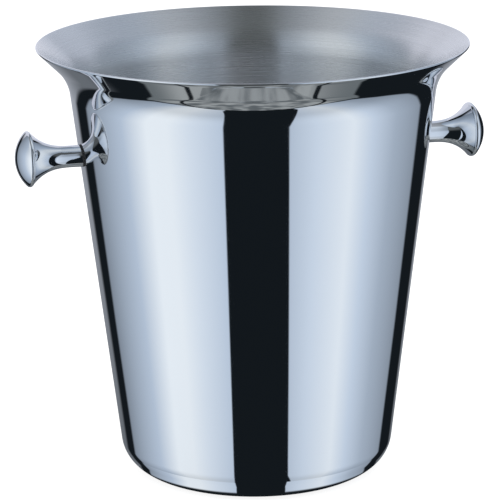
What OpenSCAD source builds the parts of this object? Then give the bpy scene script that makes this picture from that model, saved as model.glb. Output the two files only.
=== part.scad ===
// Champagne bucket: a spun steel bucket with a flared lip, and a screwed-on trumpet knob at each side.
// Millimetres. +Z is up, the bucket stands on z = 0 round the Z axis, and the knobs point along X.

/* [Bucket] */
// Diameter over the rim
rim_d = 210; // [190:1:240]
// Height from the table to the top of the rim
bucket_h = 214; // [190:1:250]
// Angle between the wall and upright, degrees
wall_taper = 6.9; // [5:0.1:9]
// Thickness of the steel sheet
sheet_t = 1; // [0.8:0.1:1.2]

/* [Lip] */
// Angle between the lip and upright, degrees
lip_angle = 45.8; // [35:0.2:55]
// Radius of the bend from wall to lip, on its outer face
lip_bend_r = 23.7; // [15:0.1:30]
// Length of the straight part of the lip
lip_flat = 12.5; // [8:0.5:16]

/* [Base] */
// Radius of the corner from wall to base, on its outer face
base_corner_r = 17; // [12:0.5:22]
// Height that the middle of the base is pressed up
base_rise = 2.5; // [1:0.5:4]
// Width of the flat ring that the bucket stands on
stand_ring_w = 5; // [3:0.5:8]
// Radius of the two bends that press the base up
base_bend_r = 4; // [3:0.5:6]

/* [Knobs] */
// Distance from the rim down to the knobs' axis
knob_drop = 50.7; // [45:0.1:70]
// Distance from the wall out to the middle of the cap's bead
knob_reach = 26.1; // [24:0.1:32]
// Diameter of the stem at its waist
waist_d = 10.6; // [10.4:0.1:12]
// Diameter of the stem at its foot
foot_d = 10.8; // [10.6:0.1:13]
// Distance from the wall to the waist
waist_at = 5; // [4:0.5:7]
// Diameter over the cap's bead
cap_d = 27; // [25:0.5:30]
// Height of the cap's dome above the bead's middle
dome_h = 6.3; // [4:0.1:8]
// Radius of the bead rolled round the cap
bead_r = 1.5; // [1:0.1:2]
// Thickness of the knobs' metal
knob_t = 0.8; // [0.6:0.1:0.9]

/* [Fixings] */
// Diameter of the knob screws
screw_d = 5; // [4:0.5:5]
// Length of the knob screws under the head
screw_l = 14; // [13:1:16]
// Diameter of the screw heads
screw_head_d = 9.5; // [8:0.5:10]
// Height of the screw heads
screw_head_h = 3.4; // [2.5:0.1:3.7]
// Thickness of the gasket under each knob's foot
gasket_t = 0.8; // [0.5:0.1:1.2]
// Thickness of the seal inside the wall
seal_t = 1; // [0.5:0.1:1.5]
// Diameter of the seal and of the saddle washer
saddle_d = 15; // [13:0.5:18]
// Thickness of the saddle washer at its lower edge
saddle_min_t = 0.65; // [0.5:0.05:1]
// Thickness of the spring washer
spring_t = 1.3; // [1:0.1:1.5]
// Diameter of the spring washer
spring_d = 9; // [8:0.1:9.2]

/* [Hidden] */
$fn = 96;

half_t = sheet_t / 2;
eps = 0.01;

// Lip: the middle of the rounded rim edge, the bend's centre, and the way the lip and the wall face
rim_mid = [rim_d / 2 - half_t, bucket_h - half_t];
lip_way = [sin(lip_angle), cos(lip_angle)];
lip_out = [cos(lip_angle), -sin(lip_angle)];
wall_out = [cos(wall_taper), -sin(wall_taper)];
lip_centre = rim_mid - lip_flat * lip_way + (lip_bend_r + half_t) * lip_out;

// Wall: a point of its outer face, and that face's radius at any height
wall_top = lip_centre - lip_bend_r * wall_out;
function wall_r(z) = wall_top.x + (z - wall_top.y) * tan(wall_taper);

// Base: the centres of the corner, of the outer bend and of the inner bend
corner_centre = [wall_r(base_corner_r) - base_corner_r / cos(wall_taper), base_corner_r];
base_bend_angle = acos(1 - base_rise / (2 * base_bend_r));
outer_bend = [corner_centre.x - stand_ring_w, half_t + base_bend_r];
inner_bend = outer_bend - 2 * base_bend_r * [sin(base_bend_angle), cos(base_bend_angle)];

// Knobs: where their axis meets the wall, and the cap's bead and dome along that axis
knob_z = bucket_h - knob_drop;
knob_x = wall_r(knob_z);
waist_r = waist_d / 2;
bush_r = waist_r - knob_t;
bead_mid_r = cap_d / 2 - bead_r;
crease_angle = 65;
flare_r = bead_mid_r + bead_r * cos(crease_angle);
flare_u = knob_reach - bead_r * sin(crease_angle);
flare_power = 2.9;
dome_r = (pow(bead_mid_r, 2) + pow(dome_h, 2) - pow(bead_r, 2)) / (2 * (dome_h - bead_r));
dome_half_angle = asin(bead_mid_r / (dome_r - bead_r));

// Fixings, as distances along the knob's axis from the wall's outer face
bush_start = 1.5;
bush_l = 7;
bore_end = bush_start + bush_l + 0.5;
inner_face = -sheet_t / cos(wall_taper);
saddle_back = inner_face - seal_t / cos(wall_taper);
saddle_flat = saddle_back - saddle_d / 2 * tan(wall_taper) - saddle_min_t;
head_seat = saddle_flat - spring_t;
hole_r = screw_d / 2 + 0.2;

// Points along an arc of radius r round c, from angle a to angle b
function arc(c, r, a, b, n) =
    [for (i = [0:n]) let (t = a + (b - a) * i / n) c + r * [cos(t), sin(t)]];

// One face of the sheet: across the base to the end of the corner, then at the top of the wall,
// then round the bend to the rim. off is +half_t on the outer face and -half_t on the inner one.
function base_face(off) = concat(
    [[0, base_rise + half_t - off]],
    arc(inner_bend, base_bend_r - off, 90, 90 - base_bend_angle, 6),
    arc(outer_bend, base_bend_r + off, -90 - base_bend_angle, -90, 6),
    arc(corner_centre, base_corner_r - half_t + off, -90, -wall_taper, 14));
function corner_end(off) = corner_centre + (base_corner_r - half_t + off) * wall_out;
function bend_start(off) = lip_centre - (lip_bend_r + half_t - off) * wall_out;
function lip_face(off) = concat(
    arc(lip_centre, lip_bend_r + half_t - off, 180 - wall_taper, 180 - lip_angle, 12),
    [rim_mid + off * lip_out]);

function reversed(list) = [for (i = [len(list) - 1:-1:0]) list[i]];

// Radius of the stem's outer face at a distance u from the wall
function stem_r(u) = u < waist_at
    ? waist_r + (foot_d / 2 - waist_r) * pow((waist_at - u) / waist_at, 2)
    : waist_r + (flare_r - waist_r) * pow((u - waist_at) / (flare_u - waist_at), flare_power);

// Slope of that face, in degrees from the axis, past the waist
function stem_slope(u) = atan(flare_power * (flare_r - waist_r) / (flare_u - waist_at)
    * pow((u - waist_at) / (flare_u - waist_at), flare_power - 1));

// The point of the stem's inner face that is knob_t inside its outer face at u
function stem_inside(u) = [stem_r(u) - knob_t * cos(stem_slope(u)), u + knob_t * sin(stem_slope(u))];

// Distances at which the flare is stepped, from the end of its bore to the cap's bead
flare_steps = 12;
flare_us = [for (i = [0:flare_steps]) bore_end + (flare_u - bore_end) * i / flare_steps];

// Turns a profile of [radius, distance from the wall] about one knob's axis
module turned(side) {
    mirror([side == "left" ? 1 : 0, 0, 0])
        translate([knob_x, 0, knob_z])
            rotate([0, 90, 0])
                rotate_extrude() children();
}

// Keeps what lies between two faces parallel to the wall, at the stated distances out from it
module between_wall_faces(side, from, to) {
    reach = 20;
    low = knob_z - reach;
    mirror([side == "left" ? 1 : 0, 0, 0])
        intersection() {
            translate([knob_x - reach, -reach, low])
                cube([2 * reach, 2 * reach, 2 * reach]);
            difference() {
                wall_cone(low, 2 * reach, to);
                translate([0, 0, -eps]) wall_cone(low, 2 * reach + 2 * eps, from);
            }
        }
}

// The cone of the wall's outer face, moved outwards by off
module wall_cone(low, height, off) {
    translate([0, 0, low])
        cylinder(h = height, r1 = wall_r(low) + off / cos(wall_taper),
                 r2 = wall_r(low + height) + off / cos(wall_taper), $fn = 384);
}

// The bucket is one sheet of steel, drawn as a base, a wall and a lip that meet edge to edge
module bucket_base() {
    color([0.80, 0.82, 0.85])
        rotate_extrude()
            polygon(concat(base_face(half_t), reversed(base_face(-half_t))));
}

module bucket_wall() {
    color([0.80, 0.82, 0.85])
        difference() {
            rotate_extrude()
                polygon([corner_end(half_t), bend_start(half_t), bend_start(-half_t), corner_end(-half_t)]);
            for (side = ["left", "right"])
                turned(side) translate([0, -10]) square([hole_r, 20]);
        }
}

module bucket_lip() {
    color([0.80, 0.82, 0.85])
        rotate_extrude()
            polygon(concat(lip_face(half_t),
                           arc(rim_mid, half_t, -lip_angle, 180 - lip_angle, 8),
                           reversed(lip_face(-half_t))));
}

// Hollow trumpet, its foot cut to lie on the gasket all round
module knob_stem(side) {
    color([0.84, 0.85, 0.88])
        difference() {
            turned(side)
                polygon(concat(
                    [for (u = [-3:1:waist_at + 2]) [stem_r(max(u, 0)), u]],
                    [for (u = flare_us) [stem_r(u), u]],
                    [for (u = reversed(flare_us)) stem_inside(u)],
                    [[bush_r, bore_end], [bush_r, -3]]));
            mirror([side == "left" ? 1 : 0, 0, 0])
                wall_cone(knob_z - 20, 40, gasket_t);
        }
}

// Domed cap, with a bead rolled over the edge of the trumpet
module knob_cap(side) {
    edge = stem_inside(flare_u);
    dome_centre = [0, knob_reach + dome_h - dome_r];
    color([0.84, 0.85, 0.88])
        turned(side)
            polygon(concat(
                arc(dome_centre, dome_r, 90, 90 - dome_half_angle, 12),
                arc([bead_mid_r, knob_reach], bead_r, 90 - dome_half_angle, -crease_angle, 12),
                [edge],
                arc(dome_centre, dome_r - knob_t, 90 - asin((edge.x - eps) / (dome_r - knob_t)), 90, 10)));
}

module threaded_bush(side) {
    color([0.72, 0.66, 0.45])
        turned(side)
            polygon([[screw_d / 2 + 0.05, bush_start], [bush_r - 0.4, bush_start],
                     [bush_r, bush_start + 0.4], [bush_r, bush_start + bush_l],
                     [screw_d / 2 + 0.05, bush_start + bush_l]]);
}

module foot_gasket(side) {
    color([0.08, 0.08, 0.09])
        intersection() {
            turned(side)
                translate([hole_r, -10]) square([foot_d / 2 - hole_r, 20]);
            between_wall_faces(side, 0, gasket_t);
        }
}

module seal_washer(side) {
    color([0.12, 0.12, 0.13])
        intersection() {
            turned(side)
                translate([hole_r, -10]) square([saddle_d / 2 - hole_r, 20]);
            between_wall_faces(side, -sheet_t - seal_t, -sheet_t);
        }
}

// Steel washer with one face shaped to the wall and one flat, so that the screw pulls straight
module saddle_washer(side) {
    color([0.75, 0.76, 0.78])
        intersection() {
            turned(side)
                translate([hole_r, saddle_flat]) square([saddle_d / 2 - hole_r, 8]);
            mirror([side == "left" ? 1 : 0, 0, 0])
                wall_cone(knob_z - 20, 40, -sheet_t - seal_t);
        }
}

// Split ring, cut through at the bottom
module spring_washer(side) {
    gap = 0.8;
    color([0.70, 0.71, 0.73])
        difference() {
            turned(side)
                translate([hole_r, head_seat]) square([spring_d / 2 - hole_r, spring_t]);
            mirror([side == "left" ? 1 : 0, 0, 0])
                translate([knob_x + head_seat + spring_t / 2, 0, knob_z - spring_d / 2])
                    rotate([25, 0, 0]) cube([2 * spring_t, gap, 8], center = true);
        }
}

// Pan-head screw with a cross recess
module knob_screw(side) {
    crown = 0.9;
    recess_l = 5;
    recess_w = 0.9;
    recess_depth = 2;
    color([0.78, 0.79, 0.81])
        difference() {
            turned(side)
                polygon(concat(
                    [[0, head_seat - screw_head_h]],
                    [for (a = [15:15:90]) [screw_head_d / 2 - crown * (1 - sin(a)) * 1.4,
                                           head_seat - screw_head_h + crown * (1 - cos(a))]],
                    [[screw_head_d / 2, head_seat], [screw_d / 2, head_seat],
                     [screw_d / 2, head_seat + screw_l - 0.6],
                     [screw_d / 2 - 0.6, head_seat + screw_l], [0, head_seat + screw_l]]));
            mirror([side == "left" ? 1 : 0, 0, 0])
                translate([knob_x + head_seat - screw_head_h, 0, knob_z])
                    for (turn = [0, 90])
                        rotate([turn, 0, 0])
                            cube([2 * recess_depth, recess_w, recess_l], center = true);
        }
}

bucket_base();
bucket_wall();
bucket_lip();
knob_stem("left");  // knob_stem_left
knob_cap("left");  // knob_cap_left
threaded_bush("left");  // threaded_bush_left
foot_gasket("left");  // foot_gasket_left
seal_washer("left");  // seal_washer_left
saddle_washer("left");  // saddle_washer_left
spring_washer("left");  // spring_washer_left
knob_screw("left");  // knob_screw_left
knob_stem("right");  // knob_stem_right
knob_cap("right");  // knob_cap_right
threaded_bush("right");  // threaded_bush_right
foot_gasket("right");  // foot_gasket_right
seal_washer("right");  // seal_washer_right
saddle_washer("right");  // saddle_washer_right
spring_washer("right");  // spring_washer_right
knob_screw("right");  // knob_screw_right
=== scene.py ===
"""Looks for a champagne bucket: one sheet of steel, mirror-polished outside and satin inside, with a
trumpet-shaped knob screwed on at each side.

Metres, +Z up, the bucket stands on z = 0 round the Z axis, and the knobs point along X. Shapes are
numpy surfaces of revolution, worked out as whole arrays.
"""

from math import acos, asin, cos, degrees, pi, radians, sin, tan

import bpy
import numpy as np
from mathutils import Matrix, Vector


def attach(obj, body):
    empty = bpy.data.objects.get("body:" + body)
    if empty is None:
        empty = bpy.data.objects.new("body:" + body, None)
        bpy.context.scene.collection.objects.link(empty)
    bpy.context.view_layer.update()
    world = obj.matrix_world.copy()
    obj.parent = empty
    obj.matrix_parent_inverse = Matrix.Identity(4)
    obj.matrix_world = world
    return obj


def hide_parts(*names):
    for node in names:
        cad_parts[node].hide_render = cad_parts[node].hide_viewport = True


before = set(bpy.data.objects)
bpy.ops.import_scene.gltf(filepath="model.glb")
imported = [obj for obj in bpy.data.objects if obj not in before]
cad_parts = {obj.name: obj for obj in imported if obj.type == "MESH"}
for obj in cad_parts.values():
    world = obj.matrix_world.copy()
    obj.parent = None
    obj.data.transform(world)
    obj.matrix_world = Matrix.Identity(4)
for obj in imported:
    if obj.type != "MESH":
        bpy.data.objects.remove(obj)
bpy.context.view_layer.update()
MM = 0.001

# ---------------------------------------------------------------------------------------------
# Sizes, the same as the solids'. A profile's points are (radius, height) pairs.
# ---------------------------------------------------------------------------------------------
RIM_R = 105 * MM
HEIGHT = 214 * MM
SHEET = 1 * MM
HALF = SHEET / 2
TAPER = radians(6.9)
LIP_ANGLE = radians(45.8)
LIP_BEND = 23.7 * MM
LIP_FLAT = 12.5 * MM
CORNER = 17 * MM
BASE_RISE = 2.5 * MM
STAND_RING = 5 * MM
BASE_BEND = 4 * MM


def vec(*values):
    return np.array(values, float)


RIM_MID = vec(RIM_R - HALF, HEIGHT - HALF)
LIP_WAY = vec(sin(LIP_ANGLE), cos(LIP_ANGLE))
LIP_OUT = vec(cos(LIP_ANGLE), -sin(LIP_ANGLE))
WALL_OUT = vec(cos(TAPER), -sin(TAPER))
LIP_CENTRE = RIM_MID - LIP_FLAT * LIP_WAY + (LIP_BEND + HALF) * LIP_OUT
WALL_TOP = LIP_CENTRE - LIP_BEND * WALL_OUT


def wall_radius(z):
    """Radius of the wall's outer face at height z."""
    return WALL_TOP[0] + (z - WALL_TOP[1]) * tan(TAPER)


CORNER_CENTRE = vec(wall_radius(CORNER) - CORNER / cos(TAPER), CORNER)
RISE_ANGLE = acos(1 - BASE_RISE / (2 * BASE_BEND))
OUTER_BEND = vec(CORNER_CENTRE[0] - STAND_RING, HALF + BASE_BEND)
INNER_BEND = OUTER_BEND - 2 * BASE_BEND * vec(sin(RISE_ANGLE), cos(RISE_ANGLE))

KNOB_DROP = 50.7 * MM
KNOB_Z = HEIGHT - KNOB_DROP
KNOB_X = wall_radius(KNOB_Z)
REACH = 26.1 * MM
WAIST_R = 5.3 * MM
FOOT_R = 5.4 * MM
WAIST_AT = 5 * MM
CAP_R = 13.5 * MM
DOME = 6.3 * MM
BEAD = 1.5 * MM
KNOB_SHEET = 0.8 * MM
BORE_END = 9 * MM
FLARE_POWER = 2.9
CREASE = radians(65)
BEAD_MID = CAP_R - BEAD
FLARE_R = BEAD_MID + BEAD * cos(CREASE)
FLARE_END = REACH - BEAD * sin(CREASE)
DOME_R = (BEAD_MID ** 2 + DOME ** 2 - BEAD ** 2) / (2 * (DOME - BEAD))
DOME_EDGE = asin(BEAD_MID / (DOME_R - BEAD))

SCREW_R = 2.5 * MM
HOLE_GAP = 0.2 * MM
HOLE_R = SCREW_R + HOLE_GAP
GASKET = 0.8 * MM
SEAL = 1 * MM
SADDLE_R = 7.5 * MM
SADDLE_LEAST, SADDLE_MEAN = 0.65 * MM, 1.5 * MM
SPRING_R = 4.5 * MM
SPRING_T = 1.3 * MM
HEAD_R = 4.75 * MM
HEAD_H = 3.4 * MM
SCREW_L = 14 * MM
CROWN, CROWN_SPREAD = 0.9 * MM, 1.4
TIP_CHAMFER = 0.6 * MM
RECESS_L, RECESS_W, RECESS_DEPTH = 5 * MM, 0.9 * MM, 2 * MM
SPRING_LEAN = radians(25)
SPRING_SLOT = 0.8 * MM
SADDLE_FLAT = -(SHEET + SEAL) / cos(TAPER) - SADDLE_R * tan(TAPER) - SADDLE_LEAST
HEAD_SEAT = SADDLE_FLAT - SPRING_T
RING_ROUND, SEAL_ROUND = 0.15 * MM, 0.25 * MM

SIDES = {"left": -1, "right": 1}

# Columns round each kind of surface
BUCKET_COLUMNS, KNOB_COLUMNS, RING_COLUMNS, STUDIO_COLUMNS = 240, 128, 96, 96


# ---------------------------------------------------------------------------------------------
# Surfaces
# ---------------------------------------------------------------------------------------------
def arc(centre, radius, start, end, steps):
    """Points centre + radius * (cos t, sin t) for t from start to end, in radians."""
    t = np.linspace(start, end, steps + 1)
    return np.stack([centre[0] + radius * np.cos(t), centre[1] + radius * np.sin(t)], -1)


def along(start, end, steps):
    """Points spaced evenly on the straight line from start to end, both ends left out."""
    t = np.linspace(0, 1, steps + 1)[1:-1, None]
    return vec(*start) * (1 - t) + vec(*end) * t


def joined(*runs):
    """One outline from several runs of points, with neighbouring doubles dropped."""
    points = np.vstack(runs)
    keep = np.r_[True, np.linalg.norm(np.diff(points, axis=0), axis=1) > 1e-8]
    return points[keep]


def grid_object(name, points, closed=(False, True), caps=(), tags=None, sharp=None):
    """A mesh object from a grid of points, one quad between neighbours.

    points has shape (rows, columns, 3). closed says whether the rows and the columns wrap round.
    caps lists the rows whose points are all one pole, which become a single vertex; quads that lose
    a corner there become triangles. tags gives each row of faces its material index. sharp is the
    angle past which an edge is shaded as a corner.
    """
    rows, columns = points.shape[:2]
    number = np.arange(rows * columns).reshape(rows, columns)
    for row in caps:
        number[row] = number[row, 0]
    below = number if closed[0] else number[:-1]
    above = np.roll(number, -1, 0) if closed[0] else number[1:]
    if closed[1]:
        quads = np.stack([below, np.roll(below, -1, 1), np.roll(above, -1, 1), above], -1)
    else:
        quads = np.stack([below[:, :-1], below[:, 1:], above[:, 1:], above[:, :-1]], -1)
    index = np.repeat(np.zeros(len(quads), int) if tags is None else tags, quads.shape[1])
    used, fresh = np.unique(quads, return_inverse=True)
    quads = fresh.reshape(-1, 4)
    doubled = quads == np.roll(quads, -1, 1)
    whole, cut = doubled.sum(1) == 0, doubled.sum(1) == 1
    triangles = quads[cut][~doubled[cut]].reshape(-1, 3)
    mesh = bpy.data.meshes.new(name)
    mesh.from_pydata(points.reshape(-1, 3)[used].tolist(), [], quads[whole].tolist() + triangles.tolist())
    mesh.shade_smooth()
    mesh.polygons.foreach_set("material_index", np.r_[index[whole], index[cut]].astype(np.int32))
    if sharp:
        mesh.set_sharp_from_angle(angle=sharp)
    mesh.update()
    piece = bpy.data.objects.new(name, mesh)
    bpy.context.scene.collection.objects.link(piece)
    return piece


def turn(columns):
    """The angles of the columns of a surface that goes once round its axis."""
    return np.linspace(0, 2 * pi, columns, endpoint=False)


def upright(outline, columns):
    """An outline of (radius, height) carried once round the Z axis."""
    t = turn(columns)
    radius, height = outline[:, :1], outline[:, 1:]
    return np.stack([radius * np.cos(t), radius * np.sin(t), height + 0 * t], -1)


def knobwise(side, radius, reach, t):
    """Points at a radius and an angle t round the knob's axis, at a reach out from the wall.

    Seen from the knob's tip the angle runs the same way on both sides, so faces stay outwards.
    """
    way = SIDES[side]
    return np.stack([way * (KNOB_X + reach) + 0 * radius * t,
                     way * radius * np.cos(t) + 0 * reach,
                     KNOB_Z + radius * np.sin(t) + 0 * reach], -1)


def wall_reach(radius, t, offset):
    """Reach at which a line beside the knob's axis meets the wall's face moved out by offset.

    The wall is a cone, so the line at height z and distance y from the axis meets it at
    x = sqrt(r(z)**2 - y**2).
    """
    y, z = radius * np.cos(t), KNOB_Z + radius * np.sin(t)
    return np.sqrt((wall_radius(z) + offset / cos(TAPER)) ** 2 - y ** 2) - KNOB_X


# ---------------------------------------------------------------------------------------------
# The bucket
# ---------------------------------------------------------------------------------------------
def sheet_face(offset, fine):
    """One face of the sheet from the middle of the base to the rim."""
    corner_end = CORNER_CENTRE + (CORNER - HALF + offset) * WALL_OUT
    bend_start = LIP_CENTRE - (LIP_BEND + HALF - offset) * WALL_OUT
    base_middle = vec(0, BASE_RISE + HALF - offset)
    return joined(
        base_middle[None],
        along(base_middle, INNER_BEND + vec(0, BASE_BEND - offset), 8),
        arc(INNER_BEND, BASE_BEND - offset, pi / 2, pi / 2 - RISE_ANGLE, 8),
        arc(OUTER_BEND, BASE_BEND + offset, -pi / 2 - RISE_ANGLE, -pi / 2, 8),
        along(OUTER_BEND - vec(0, BASE_BEND + offset), CORNER_CENTRE - vec(0, CORNER - HALF + offset), 3),
        arc(CORNER_CENTRE, CORNER - HALF + offset, -pi / 2, -TAPER, 2 * fine),
        along(corner_end, bend_start, 24),
        arc(LIP_CENTRE, LIP_BEND + HALF - offset, pi - TAPER, pi - LIP_ANGLE, 2 * fine),
        along(LIP_CENTRE - (LIP_BEND + HALF - offset) * LIP_OUT, RIM_MID + offset * LIP_OUT, 6))


def make_bucket():
    """The whole sheet: the outer face, the rounded edge of the lip and the inner face. The satin starts
    just short of the end of the edge."""
    outer, inner = sheet_face(HALF, 24), sheet_face(-HALF, 20)
    edge = arc(RIM_MID, HALF, -LIP_ANGLE, pi - LIP_ANGLE, 14)
    outline = joined(outer, edge, inner[::-1])
    satin_from = len(joined(outer, edge)) - 3
    tags = (np.arange(len(outline) - 1) >= satin_from).astype(int)
    return grid_object("bucket_body", upright(outline, BUCKET_COLUMNS), caps=(0, -1), tags=tags)


# ---------------------------------------------------------------------------------------------
# The knobs
# ---------------------------------------------------------------------------------------------
def stem_radius(u):
    """The stem's outer radius at reach u: a slight spread at the foot, a waist, then a power curve."""
    foot = (FOOT_R - WAIST_R) * (np.clip(WAIST_AT - u, 0, None) / WAIST_AT) ** 2
    flare = (FLARE_R - WAIST_R) * (np.clip(u - WAIST_AT, 0, None) / (FLARE_END - WAIST_AT)) ** FLARE_POWER
    return WAIST_R + foot + flare


def stem_inside(u):
    """The point of the stem's inner face that is one sheet inside its outer face at reach u."""
    run = FLARE_END - WAIST_AT
    slope = np.arctan(FLARE_POWER * (FLARE_R - WAIST_R) / run * ((u - WAIST_AT) / run) ** (FLARE_POWER - 1))
    return np.stack([stem_radius(u) - KNOB_SHEET * np.cos(slope), u + KNOB_SHEET * np.sin(slope)], -1)


def make_trumpet(side):
    """The stem and its flare, hollow. Its first stretch is squeezed along the axis by a share that
    falls from one at the foot to nothing at the waist, so that the foot lies on the gasket."""
    u = np.linspace(0, FLARE_END, 76)
    outside = np.stack([stem_radius(u), u], -1)
    inside = stem_inside(np.linspace(FLARE_END, BORE_END, 36))
    bore_r = WAIST_R - KNOB_SHEET
    bore = joined([(bore_r, BORE_END)], along((bore_r, BORE_END), (bore_r, 0), 7), [(bore_r, 0)])
    outline = joined(outside, inside, bore)
    t = turn(KNOB_COLUMNS)
    radius, reach = outline[:, :1], outline[:, 1:]
    squeezed = reach + wall_reach(radius, t, GASKET) * np.clip(1 - reach / WAIST_AT, 0, 1)
    return grid_object(f"knob_trumpet_{side}", knobwise(side, radius, squeezed, t), closed=(True, True),
                       sharp=radians(50))


def make_dome(side):
    """The domed cap: the dome runs smoothly into a bead rolled over the trumpet's edge."""
    dome_mid = (0, REACH + DOME - DOME_R)
    edge = stem_inside(np.array([FLARE_END]))
    outside = joined(arc((BEAD_MID, REACH), BEAD, -CREASE, pi / 2 - DOME_EDGE, 24),
                     arc(dome_mid, DOME_R, pi / 2 - DOME_EDGE, pi / 2, 36))
    inner_r = DOME_R - KNOB_SHEET
    inside = joined(arc(dome_mid, inner_r, pi / 2, pi / 2 - asin(edge[0, 0] / inner_r), 14), edge)
    outline = np.vstack([outside, inside])
    tip = len(outside) - 1
    outline[[tip, tip + 1], 0] = 0
    points = knobwise(side, outline[:, :1], outline[:, 1:], turn(KNOB_COLUMNS))
    return grid_object(f"knob_dome_{side}", points, closed=(True, True), caps=(tip, tip + 1),
                       sharp=radians(50))


# ---------------------------------------------------------------------------------------------
# What holds the knobs on
# ---------------------------------------------------------------------------------------------
def ring_section(inner, outer, thick, corner):
    """A rounded rectangle of (radius, share of the thickness), run so that its faces look outwards."""
    across, through = corner, corner / thick
    quarter = np.linspace(0, pi / 2, 5)
    turns = [(outer - across, through, -pi / 2), (outer - across, 1 - through, 0),
             (inner + across, 1 - through, pi / 2), (inner + across, through, pi)]
    return np.vstack([np.stack([mid + across * np.cos(quarter + start),
                                share + through * np.sin(quarter + start)], -1)
                      for mid, share, start in turns])


def make_ring(name, side, inner, outer, thick, back, front, corner=RING_ROUND):
    """A washer: its thickness runs from the back surface to the front one, each a function of the
    radius and the angle round the knob's axis."""
    section = ring_section(inner, outer, thick, corner)
    t = turn(RING_COLUMNS)
    radius, share = section[:, :1], section[:, 1:]
    reach = back(radius, t) * (1 - share) + front(radius, t) * share
    points = knobwise(side, radius, reach, t)
    return grid_object(f"{name}_{side}", points, closed=(True, True), sharp=radians(60))


def off_wall(offset):
    """A ring's surface that is the wall's outer face moved out by offset."""
    return lambda radius, t: wall_reach(radius, t, offset)


def flat_at(reach):
    """A ring's surface that is flat across the knob's axis."""
    return lambda radius, t: reach + 0 * radius * t


def make_gasket(side):
    return make_ring("foot_gasket_ring", side, HOLE_R, FOOT_R, GASKET, off_wall(0), off_wall(GASKET))


def make_seal(side):
    return make_ring("inner_seal_ring", side, HOLE_R, SADDLE_R, SEAL, off_wall(-SHEET - SEAL),
                     off_wall(-SHEET), corner=SEAL_ROUND)


def make_saddle(side):
    return make_ring("saddle_ring", side, HOLE_R, SADDLE_R, SADDLE_MEAN, flat_at(SADDLE_FLAT),
                     off_wall(-SHEET - SEAL))


def make_spring(side):
    """A split ring. The slot's two faces are straight lines that lean beside the downward radius, and
    the angle of each at a radius comes from where that line meets the circle."""
    lean, slot = SPRING_LEAN * SIDES[side], SPRING_SLOT / 2
    section = ring_section(HOLE_R, SPRING_R, SPRING_T, RING_ROUND)
    radius = section[:, 0]

    def slot_angle(shift):
        start = vec(shift * cos(lean), -SPRING_R + shift * sin(lean))
        b = SPRING_R * cos(lean)
        s = b - np.sqrt(b ** 2 - (start @ start - radius ** 2))
        return np.arctan2(start[1] + s * cos(lean), start[0] - s * sin(lean))

    first, last = slot_angle(slot), slot_angle(-slot) + 2 * pi
    share = np.linspace(0, 1, 81)
    t = first[:, None] * (1 - share) + last[:, None] * share
    reach = HEAD_SEAT + SPRING_T * section[:, 1:] + 0 * t
    points = knobwise(side, radius[:, None] + 0 * t, reach, t)
    middle = points[:, [0, -1]].mean(0)
    ends = np.broadcast_to(middle[None], (len(points), 2, 3))
    points = np.concatenate([ends[:, :1], points, ends[:, 1:]], 1)
    return grid_object(f"spring_ring_{side}", points, closed=(True, False), sharp=radians(40))


def make_screw(side):
    """A pan-head screw. Its columns follow the outline of a cross, so that the recess has straight
    walls: inside the cross a point is the outline scaled down, outside it blends into circles. recess
    gives (scale of the cross, depth)."""
    long, wide = RECESS_L / 2, RECESS_W / 2
    quarter = vec((long, -wide), (long, wide), (wide, wide), (wide, long))
    corners = np.vstack([quarter[:3] @ np.array([[cos(a), sin(a)], [-sin(a), cos(a)]])
                         for a in (0, pi / 2, pi, 3 * pi / 2)])
    share = np.linspace(0, 1, 7)[:-1, None]
    cross = np.vstack([a * (1 - share) + b * share for a, b in zip(corners, np.roll(corners, -1, 0))])
    size = np.linalg.norm(cross, axis=1)
    t = np.unwrap(np.arctan2(cross[:, 1], cross[:, 0]))
    top = HEAD_SEAT - HEAD_H
    tip = HEAD_SEAT + SCREW_L
    crown = np.linspace(radians(8), pi / 2, 14)
    round_part = np.stack([HEAD_R - CROWN * CROWN_SPREAD * (1 - np.sin(crown)),
                           top + CROWN * (1 - np.cos(crown))], -1)
    shank = [(SCREW_R, tip - TIP_CHAMFER), (SCREW_R - TIP_CHAMFER, tip), (0, tip)]
    body = joined(round_part, [(HEAD_R, HEAD_SEAT), (SCREW_R, HEAD_SEAT)], shank)
    mouth = 1.03
    recess = vec((0, RECESS_DEPTH), (0.5, RECESS_DEPTH), (0.86, RECESS_DEPTH),
                 (0.9, RECESS_DEPTH - 0.1 * MM), (0.98, 0.08 * MM), (mouth, 0))
    hollow_r = recess[:, :1] * size
    hollow_u = top + recess[:, 1:] + 0 * size
    blend = np.linspace(0, 1, 5)[1:-1, None]
    land_r = mouth * size * (1 - blend) + round_part[0, 0] * blend
    land_u = top + 0 * land_r
    radius = np.vstack([hollow_r, land_r, body[:, :1] + 0 * size])
    reach = np.vstack([hollow_u, land_u, body[:, 1:] + 0 * size])
    points = knobwise(side, radius[::-1], reach[::-1], t)
    return grid_object(f"fixing_screw_{side}", points, caps=(0, -1), sharp=radians(45))


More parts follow.
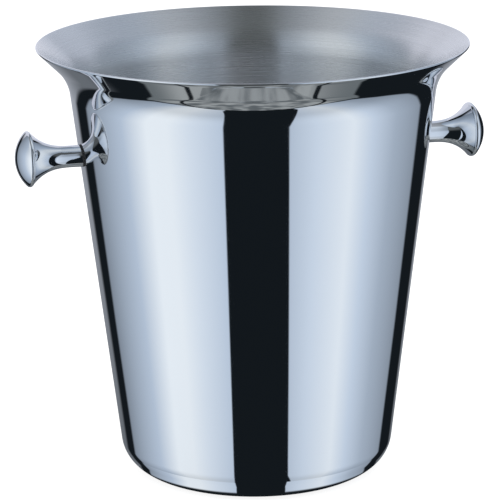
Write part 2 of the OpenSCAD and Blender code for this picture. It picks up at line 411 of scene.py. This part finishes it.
# ---------------------------------------------------------------------------------------------
# Shader maths
# ---------------------------------------------------------------------------------------------
class Shade:
    """A socket that can be used in Python expressions: each operator adds its Math node."""

    def __init__(self, tree, socket=None):
        self.tree, self.socket = tree, socket

    def node(self, kind, settings=None, inputs=None, out=0):
        """Adds a node: its settings first, ramp stops among them, then its sockets by name or number."""
        made = self.tree.nodes.new(kind)
        for key, value in (settings or {}).items():
            if key == "stops":
                fill_ramp(made.color_ramp, value)
            else:
                setattr(made, key, value)
        for key, value in (inputs or {}).items():
            if isinstance(value, Shade):
                self.tree.links.new(value.socket, made.inputs[key])
            else:
                made.inputs[key].default_value = value
        return Shade(self.tree, made.outputs[out] if made.outputs else None)

    def maths(self, operation, *values):
        return self.node("ShaderNodeMath", {"operation": operation}, dict(enumerate(values)))

    def __add__(self, other):
        return self.maths("ADD", self, other)

    def __radd__(self, other):
        return self.maths("ADD", other, self)

    def __sub__(self, other):
        return self.maths("SUBTRACT", self, other)

    def __rsub__(self, other):
        return self.maths("SUBTRACT", other, self)

    def __mul__(self, other):
        return self.maths("MULTIPLY", self, other)

    def __rmul__(self, other):
        return self.maths("MULTIPLY", other, self)

    def __truediv__(self, other):
        return self.maths("DIVIDE", self, other)

    def __rtruediv__(self, other):
        return self.maths("DIVIDE", other, self)

    def __pow__(self, other):
        return self.maths("POWER", self, other)

    def __abs__(self):
        return self.maths("ABSOLUTE", self)

    def greater(self, other):
        return self.maths("GREATER_THAN", self, other)

    def held(self, low, high):
        """The value, but no less than low and no more than high."""
        return self.maths("MAXIMUM", self.maths("MINIMUM", self, high), low)

    def step(self, low, high):
        """Nought below low and one above high, with an eased change between them."""
        return self.node("ShaderNodeMapRange", {"interpolation_type": "SMOOTHSTEP"},
                         {"Value": self, "From Min": low, "From Max": high})

    def span(self, low, high, start=0.0, end=1.0):
        """Carries low..high to start..end on a straight line, held at both ends."""
        return self.node("ShaderNodeMapRange", {},
                         {"Value": self, "From Min": low, "From Max": high, "To Min": start, "To Max": end})

    def parts(self):
        made = self.node("ShaderNodeSeparateXYZ", {}, {0: self}).socket.node
        return [Shade(self.tree, socket) for socket in made.outputs]

    def place(self, x, y, z):
        return self.node("ShaderNodeCombineXYZ", {}, {0: x, 1: y, 2: z})

    def noise(self, at, scale, detail=2.0, rough=0.5):
        return self.node("ShaderNodeTexNoise", {}, {"Vector": at, "Scale": scale, "Detail": detail,
                                                    "Roughness": rough})

    def mix(self, share, first, second):
        """A mix of two colours, each a socket or a tuple of red, green and blue."""
        made = self.tree.nodes.new("ShaderNodeMix")
        made.data_type = "RGBA"
        slots = {"Factor": share, "A": first, "B": second}
        for socket in made.inputs:
            if socket.type == ("VALUE" if socket.name == "Factor" else "RGBA") and socket.name in slots:
                value = slots[socket.name]
                if isinstance(value, Shade):
                    self.tree.links.new(value.socket, socket)
                else:
                    socket.default_value = (*value, 1) if isinstance(value, tuple) else value
        return Shade(self.tree, next(s for s in made.outputs if s.type == "RGBA"))

    def ramp(self, stops):
        """The colour at this position on a ramp of (position, (red, green, blue))."""
        return self.node("ShaderNodeValToRGB", {"stops": stops}, {"Fac": self})

    def dimmed(self, share):
        """A colour scaled by a number."""
        return self.node("ShaderNodeVectorMath", {"operation": "SCALE"}, {0: self, "Scale": share})

    def bump(self, height, strength, distance):
        return self.node("ShaderNodeBump", {}, {"Height": height, "Strength": strength, "Distance": distance})


def fill_ramp(ramp, stops):
    """Sets a ramp's stops from a list of (position, (red, green, blue))."""
    while len(ramp.elements) > 1:
        ramp.elements.remove(ramp.elements[-1])
    for number, (position, colour) in enumerate(stops):
        element = ramp.elements[0] if number == 0 else ramp.elements.new(position)
        element.position = position
        element.color = (*colour, 1)


def new_material(name):
    """An empty material, and the Shade that adds nodes to it."""
    material = bpy.data.materials.new(name)
    material.use_nodes = True
    material.node_tree.nodes.clear()
    return material, Shade(material.node_tree)


def principled(shade, **sockets):
    """A Principled shader on the material's output. Names have spaces in place of underscores."""
    surface = shade.node("ShaderNodeBsdfPrincipled", {},
                         {key.replace("_", " "): value for key, value in sockets.items()})
    shade.node("ShaderNodeOutputMaterial", {}, {"Surface": surface})


def object_place(shade):
    """A place's Object coordinates."""
    return shade.node("ShaderNodeTexCoord", out=3)


# ---------------------------------------------------------------------------------------------
# Finishes
# ---------------------------------------------------------------------------------------------
STEEL = (0.80, 0.82, 0.845)


def polished_steel(name, waves):
    """Mirror-polished steel: a faint low swell, and polishing haze that wanders a little."""
    material, shade = new_material(name)
    at = object_place(shade)
    haze = shade.noise(at, 46.0, 3.0)
    swell = shade.noise(at, 17.0, 1.0)
    tint = shade.mix(haze, tuple(c * 0.985 for c in STEEL), STEEL)
    principled(shade, Base_Color=tint, Metallic=1.0, Roughness=haze.span(0.3, 0.7, 0.022, 0.045),
               Normal=shade.bump(swell, 0.5, waves))
    return material


def satin_steel():
    """The inside: brushed round and round, so that its lines follow the wall and the base."""
    material, shade = new_material("satin_steel")
    x, y, z = object_place(shade).parts()
    radius = (x * x + y * y) ** 0.5
    down = (radius + z) * 1000.0
    round_x, round_y = x / (radius + 0.001), y / (radius + 0.001)
    lines = shade.noise(shade.place(round_x * 2.2, round_y * 2.2, down * 3.1), 1.0, 3.0, 0.6)
    bands = shade.noise(shade.place(round_x * 0.5, round_y * 0.5, down * 0.35), 1.0, 2.0)
    tint = shade.mix(lines, (0.73, 0.742, 0.748), (0.81, 0.822, 0.828))
    rough = lines.span(0.3, 0.7, 0.25, 0.30) + bands.span(0.3, 0.7, -0.02, 0.02)
    principled(shade, Base_Color=tint, Metallic=1.0, Roughness=rough, Anisotropic=1.0,
               Anisotropic_Rotation=0.25, Normal=shade.bump(lines, 0.35, 0.00006))
    return material


def black_rubber():
    """Matt rubber with a fine grain and a faint bloom."""
    material, shade = new_material("black_rubber")
    at = object_place(shade)
    grain = shade.noise(at, 2600.0, 3.0)
    bloom = shade.noise(at, 240.0, 2.0)
    principled(shade, Base_Color=shade.mix(bloom, (0.012, 0.012, 0.013), (0.026, 0.026, 0.028)),
               Roughness=grain.span(0.3, 0.7, 0.48, 0.66), Normal=shade.bump(grain, 0.3, 0.00008))
    return material


def turned_steel():
    """Plain steel of the screws and washers, with fine turning marks round the knobs' axis."""
    material, shade = new_material("turned_steel")
    x, y, z = object_place(shade).parts()
    out = z - KNOB_Z
    radius = (y * y + out * out) ** 0.5
    marks = shade.noise(shade.place(radius * 5200.0, x * 5200.0, 0.0), 1.0, 2.0)
    tint = shade.mix(marks, (0.56, 0.565, 0.57), (0.66, 0.665, 0.67))
    principled(shade, Base_Color=tint, Metallic=1.0, Roughness=marks.span(0.3, 0.7, 0.26, 0.36),
               Normal=shade.bump(marks, 0.25, 0.00004))
    return material


def turned_brass():
    """Brass with turning marks along the bush, dulled in patches."""
    material, shade = new_material("turned_brass")
    x, y, z = object_place(shade).parts()
    marks = shade.noise(shade.place(0.0, 0.0, abs(x) * 4200.0), 1.0, 2.0)
    dull = shade.noise(shade.place(x, y, z), 420.0, 2.0)
    principled(shade, Base_Color=shade.mix(dull, (0.72, 0.50, 0.20), (0.84, 0.63, 0.30)), Metallic=1.0,
               Roughness=marks.span(0.3, 0.7, 0.24, 0.38), Normal=shade.bump(marks, 0.3, 0.00005))
    return material


# ---------------------------------------------------------------------------------------------
# Putting it together
# ---------------------------------------------------------------------------------------------
MIRROR = polished_steel("polished_steel", 0.00001)
KNOB_MIRROR = polished_steel("polished_knob", 0.000004)
SATIN = satin_steel()
RUBBER = black_rubber()
TURNED = turned_steel()
BRASS = turned_brass()


def fit(piece, slot, finishes, *nodes):
    """Gives a piece its finishes and its body, and hides the nodes that it stands for. slot is not used."""
    for finish in finishes:
        piece.data.materials.append(finish)
    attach(piece, "root")
    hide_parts(*nodes)


fit(make_bucket(), "polished_steel_sheet", (MIRROR, SATIN), "bucket_base", "bucket_wall", "bucket_lip")
for side in SIDES:
    fit(make_trumpet(side), "polished_steel_knob", (KNOB_MIRROR,), f"knob_stem_{side}")
    fit(make_dome(side), "polished_steel_knob", (KNOB_MIRROR,), f"knob_cap_{side}")
    fit(make_gasket(side), "black_rubber", (RUBBER,), f"foot_gasket_{side}")
    fit(make_seal(side), "black_rubber", (RUBBER,), f"seal_washer_{side}")
    fit(make_saddle(side), "plain_steel", (TURNED,), f"saddle_washer_{side}")
    fit(make_spring(side), "plain_steel", (TURNED,), f"spring_washer_{side}")
    fit(make_screw(side), "plain_steel", (TURNED,), f"knob_screw_{side}")
    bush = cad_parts[f"threaded_bush_{side}"]
    bush.data.materials.clear()
    bush.data.materials.append(BRASS)

# ---------------------------------------------------------------------------------------------
# Camera
# ---------------------------------------------------------------------------------------------
# The camera is set up in front of a bucket whose knobs point along X, in radians and metres, and is
# then turned with CAMERA_TURN about the Z axis. PITCH is downwards, YAW to the right.
CAMERA_TURN = radians(-14.9)
CAMERA_AT = (0.0, -1.2884, 0.4503)
PITCH, YAW, ROLL = 0.2585, -0.0018, -0.0107
LENS = 194.2

forward = Vector((sin(YAW) * cos(PITCH), cos(YAW) * cos(PITCH), -sin(PITCH)))
level = Vector((cos(YAW), -sin(YAW), 0))
above = level.cross(forward)
right = cos(ROLL) * level + sin(ROLL) * above
top = cos(ROLL) * above - sin(ROLL) * level
facing = Matrix((right, top, -forward)).transposed()
spin = Matrix.Rotation(CAMERA_TURN, 3, "Z")

camera_data = bpy.data.cameras.new("camera")
camera_data.lens = LENS
camera_data.sensor_width = 36
camera_data.clip_start, camera_data.clip_end = 0.05, 40
camera = bpy.data.objects.new("camera", camera_data)
camera.matrix_world = (spin @ facing).to_4x4()
camera.location = spin @ Vector(CAMERA_AT)
bpy.context.scene.collection.objects.link(camera)
bpy.context.scene.camera = camera

# ---------------------------------------------------------------------------------------------
# Studio: a white floor, and a tent of long soft panels that only reflections see. Angles go round it in
# degrees from the camera's direction, right positive.
# ---------------------------------------------------------------------------------------------
TENT_R = 1.0
TENT_LOW, TENT_HIGH = -2.6, 2.4
TENT_BULGE = 0.2
TENT_BOTTOM_R = 0.6

DARK = (0.008, 0.011, 0.014)
BACKDROP_HIGH, BACKDROP_HIGH_RIGHT = (0.74, 0.76, 0.86), (0.58, 0.63, 0.74)
BACKDROP_MIDDLE, BACKDROP_LOW = (0.31, 0.33, 0.37), (0.15, 0.165, 0.185)
OVER_CAMERA = (0.11, 0.12, 0.125)
BOARD_DARK, BOARD_PALE, BOARD_EDGE = (0.13, 0.145, 0.155), (0.36, 0.38, 0.385), (0.155, 0.175, 0.185)

# Brightness of the panels by the angle. Each has its lamp about 65 degrees round.
PANEL_GLOW = {-130: 0.27, -110: 0.46, -90: 0.64, -70: 1.02, -55: 1.01, -40: 0.87, -18: 0.68,
              18: 0.58, 40: 0.79, 65: 0.96, 80: 0.75, 100: 0.51, 130: 0.32}
DIM_TINT, BRIGHT_TINT = vec(0.855, 1, 1.205), vec(0.945, 1, 1.05)
TINT_FROM, TINT_TO = 0.7, 1.0

# The panels' edges beside the camera: their angle at height EDGE_FROM, and how it grows below that,
# evenly on the right and with the square of the drop on the left
EDGE_FROM, EDGE_DEEPEST = 0.1, 2.0
LEFT_EDGE, RIGHT_EDGE = 18.2, 17.0
LEFT_GROWTH, RIGHT_GROWTH = 3.0, 14.0

# The angle of the panels' far edges, by height, and of the backdrop's edges at the back
FAR_EDGE = {-2.3: 66, -2.0: 90, -1.5: 110, -1.0: 117, -0.5: 128, -0.3: 129, -0.1: 127}
LEFT_BACKDROP, RIGHT_BACKDROP = 145.5, 155.0

# The heights below which the boards show, behind the panels and all round. A dark line lies just above
# the second.
BOARDS_BEHIND, BOARDS_ROUND = -1.38, -2.42

# The ceiling's colour by the distance from its middle line
CEILING = [(0.0, (0.125, 0.138, 0.142)), (0.12, (0.125, 0.138, 0.142)), (0.26, (0.19, 0.208, 0.22)),
           (0.5, (0.26, 0.28, 0.305)), (0.9, (0.37, 0.39, 0.43))]


def panel_colour(glow):
    """The panels turn bluer where they are dimmer."""
    share = min(max((glow - TINT_FROM) / (TINT_TO - TINT_FROM), 0), 1)
    return tuple(float(c) for c in glow * (DIM_TINT * (1 - share) + BRIGHT_TINT * share))


PANEL_STOPS = [(angle / 360 + 0.5, panel_colour(glow)) for angle, glow in PANEL_GLOW.items()]
FAR_STOPS = [(1 - height / TENT_LOW, (angle / 180,) * 3) for height, angle in FAR_EDGE.items()]


def studio_pattern(shade, turned, z):
    """Two bluish panels, one at each side of the camera, with a dark slot between them and one behind
    each, and a pale backdrop, by the angle and the height. Also gives how many degrees a place is past
    its panel's far edge."""
    drop = shade.maths("MINIMUM", shade.maths("MAXIMUM", EDGE_FROM - z, 0.0), EDGE_DEEPEST)
    on_right = turned.greater(0.0)
    away = abs(turned)
    right_edge = RIGHT_EDGE + RIGHT_GROWTH * drop
    left_edge = LEFT_EDGE + LEFT_GROWTH * drop * drop
    near_edge = on_right * right_edge + (1 - on_right) * left_edge
    far_edge = (z / -TENT_LOW + 1).ramp(FAR_STOPS) * 180.0
    panel = (away - near_edge).step(-0.6, 0.6) * (far_edge - away).step(-2.0, 2.0)
    glow = (turned / 360 + 0.5).ramp(PANEL_STOPS)
    glow = shade.mix(z.step(-1.1, -0.4), glow.dimmed(0.75), glow)
    glow = shade.mix(z.step(0.15, 0.5), glow, glow.dimmed(0.85))
    lit = shade.mix(panel, DARK, glow)
    behind = shade.mix(z.span(-0.36, -0.12), BACKDROP_LOW, BACKDROP_MIDDLE)
    behind = shade.mix(z.step(-0.12, 0.15), behind, BACKDROP_HIGH)
    backdrop_edge = on_right * RIGHT_BACKDROP + (1 - on_right) * LEFT_BACKDROP
    return shade.mix((away - backdrop_edge).step(-4.0, 4.0), lit, behind), away - far_edge


def board_colour(shade, x, y):
    """Mottled grey boards."""
    mottle = shade.noise(shade.place(x, y, 0.0), 3.0, 2.0)
    return shade.mix(mottle.step(0.38, 0.62), BOARD_DARK, BOARD_PALE)


def bearings(shade):
    """A place's x, y and z, its distance to the right of the camera's line, and its angle in radians."""
    x, y, z = object_place(shade).parts()
    ahead = x * sin(CAMERA_TURN) - y * cos(CAMERA_TURN)
    beside = x * cos(CAMERA_TURN) + y * sin(CAMERA_TURN)
    return x, y, z, beside, shade.maths("ARCTAN2", beside, ahead)


def tent_light(shade):
    """Colour of the tent: the studio's pattern, pale high up at the back, a ceiling that is dark along
    its middle, and boards low down."""
    x, y, z, beside, angle = bearings(shade)
    turned = angle * degrees(1)
    away = abs(turned)
    lit, past_panel = studio_pattern(shade, turned, z)
    high_back = shade.mix(turned.greater(0.0), BACKDROP_HIGH, BACKDROP_HIGH_RIGHT)
    lit = shade.mix(z.step(0.3, 0.55) * past_panel.step(-2.0, 2.0), lit, high_back)
    in_front = (20.0 - away).step(0.0, 3.0) * 0.6 + (50.0 - away).step(0.0, 28.0) * 0.4
    lit = shade.mix(z.step(0.2, 0.6) * in_front, lit, OVER_CAMERA)
    lit = shade.mix(z.step(1.5, 2.1), lit, abs(beside).ramp(CEILING))
    boards = shade.mix((z + 2.2).step(0.0, 0.8), board_colour(shade, x, y), BOARD_EDGE)
    behind_panels = (BOARDS_BEHIND - z).step(-0.04, 0.04) * past_panel.step(5.0, 8.0)
    lit = shade.mix(behind_panels, lit, boards)
    lit = shade.mix(z.step(BOARDS_ROUND + 0.1, BOARDS_ROUND + 0.16), DARK, lit)
    return shade.mix(z.step(BOARDS_ROUND - 0.06, BOARDS_ROUND), boards, lit)


# The close table that the foot of the wall sees
FOOT_EDGE = CORNER_CENTRE[0]
FOOT_GLOW_WIDTH = 24 * MM
FOOT_GLOW_SINK = 0.3 * MM
FOOT_PATTERN_DROP = 0.62
# How far out from the foot's edge the painted contact shadow fades out
CONTACT_SHADOW_FROM, CONTACT_SHADOW_TO = 9 * MM, 11.5 * MM
FAR_OFF = 0.06
RAY_LENGTH_SOCKET = 8


def foot_light(shade):
    """Colour of the table close to the foot: the studio's pattern carried on, with a painted contact shadow,
    a dark line where the bucket's shade falls beside its foot. A ray that leaves a wall of radius r facing f
    goes at 2 f, and reaches the place at distance d and angle a where d sin(2 f - a) = r sin f. That is
    solved in four rounds. A ray that comes from farther off, as from under the lip, finds the boards there."""
    x, y, z, _, here = bearings(shade)
    away = (x * x + y * y) ** 0.5
    nearness = shade.maths("MINIMUM", (FOOT_EDGE + CORNER) / away, 1.0)
    thrown = here * 2
    for _ in range(4):
        thrown = here + shade.maths("ARCSINE", nearness * shade.maths("SINE", thrown / 2))
    lit, _ = studio_pattern(shade, (thrown * degrees(1)).held(-179.0, 179.0), z - FOOT_PATTERN_DROP)
    # Painted contact shadow: dark next to the foot's edge, where the bucket's shade falls on the table
    lit = shade.mix((away - FOOT_EDGE).step(CONTACT_SHADOW_FROM, CONTACT_SHADOW_TO), DARK, lit)
    from_afar = shade.node("ShaderNodeLightPath", out=RAY_LENGTH_SOCKET).greater(FAR_OFF)
    return shade.mix(from_afar, lit, board_colour(shade, x * 8.0, y * 8.0))


def glow_with(thing, name, colour):
    """Gives a thing a light that only reflections see. colour is the function that makes its colour."""
    material, shade = new_material(name)
    light = shade.node("ShaderNodeEmission", {}, {"Color": colour(shade), "Strength": 1.0})
    shade.node("ShaderNodeOutputMaterial", {}, {"Surface": light})
    thing.data.materials.append(material)
    thing.visible_camera = thing.visible_diffuse = thing.visible_shadow = False


def make_tent():
    low, high = (TENT_R, TENT_LOW), (TENT_R, TENT_HIGH)
    bottom = [(0, TENT_LOW - TENT_BULGE), (TENT_BOTTOM_R, TENT_LOW - TENT_BULGE), low]
    outline = joined(bottom, along(low, high, 20), [high, (0, TENT_HIGH + TENT_BULGE / 2)])
    tent = grid_object("studio_tent", upright(outline, STUDIO_COLUMNS)[::-1], caps=(0, -1))
    glow_with(tent, "tent_light", tent_light)


def make_foot_glow():
    outline = vec((FOOT_EDGE + FOOT_GLOW_WIDTH, 0), (FOOT_EDGE, 0), (0, 0))
    glow = grid_object("foot_glow", upright(outline, STUDIO_COLUMNS), caps=(-1,))
    glow.location.z = -FOOT_GLOW_SINK
    glow_with(glow, "foot_glow", foot_light)


def make_floor():
    outline = vec((0, 0), (0.3, 0), (2, 0), (14, 0))
    floor = grid_object("studio_floor", upright(outline, 64)[::-1], caps=(-1,))
    material, shade = new_material("pale_floor")
    speck = shade.noise(object_place(shade), 60.0, 2.0)
    principled(shade, Base_Color=shade.mix(speck, (0.28, 0.28, 0.28), (0.30, 0.30, 0.30)), Roughness=0.9,
               Specular_IOR_Level=0.0, Emission_Color=(1, 1, 1, 1), Emission_Strength=0.88)
    floor.data.materials.append(material)
    floor.visible_glossy = False


def make_light(name, at, size, power):
    """A round lamp that points at the origin. Reflections don't show it."""
    data = bpy.data.lights.new(name, "AREA")
    data.shape, data.size, data.energy = "DISK", size, power
    lamp = bpy.data.objects.new(name, data)
    lamp.location = at
    lamp.rotation_euler = Vector(at).to_track_quat("Z", "Y").to_euler()
    lamp.visible_glossy = lamp.visible_camera = False
    bpy.context.scene.collection.objects.link(lamp)


make_tent()
make_foot_glow()
make_floor()
make_light("overhead_softbox", (0.1, -0.25, 1.3), 1.2, 12)

world = bpy.data.worlds.new("studio_white")
world.use_nodes = True
world.node_tree.nodes["Background"].inputs["Color"].default_value = (1, 1, 1, 1)
bpy.context.scene.world = world
bpy.context.scene.view_settings.view_transform = "Standard"
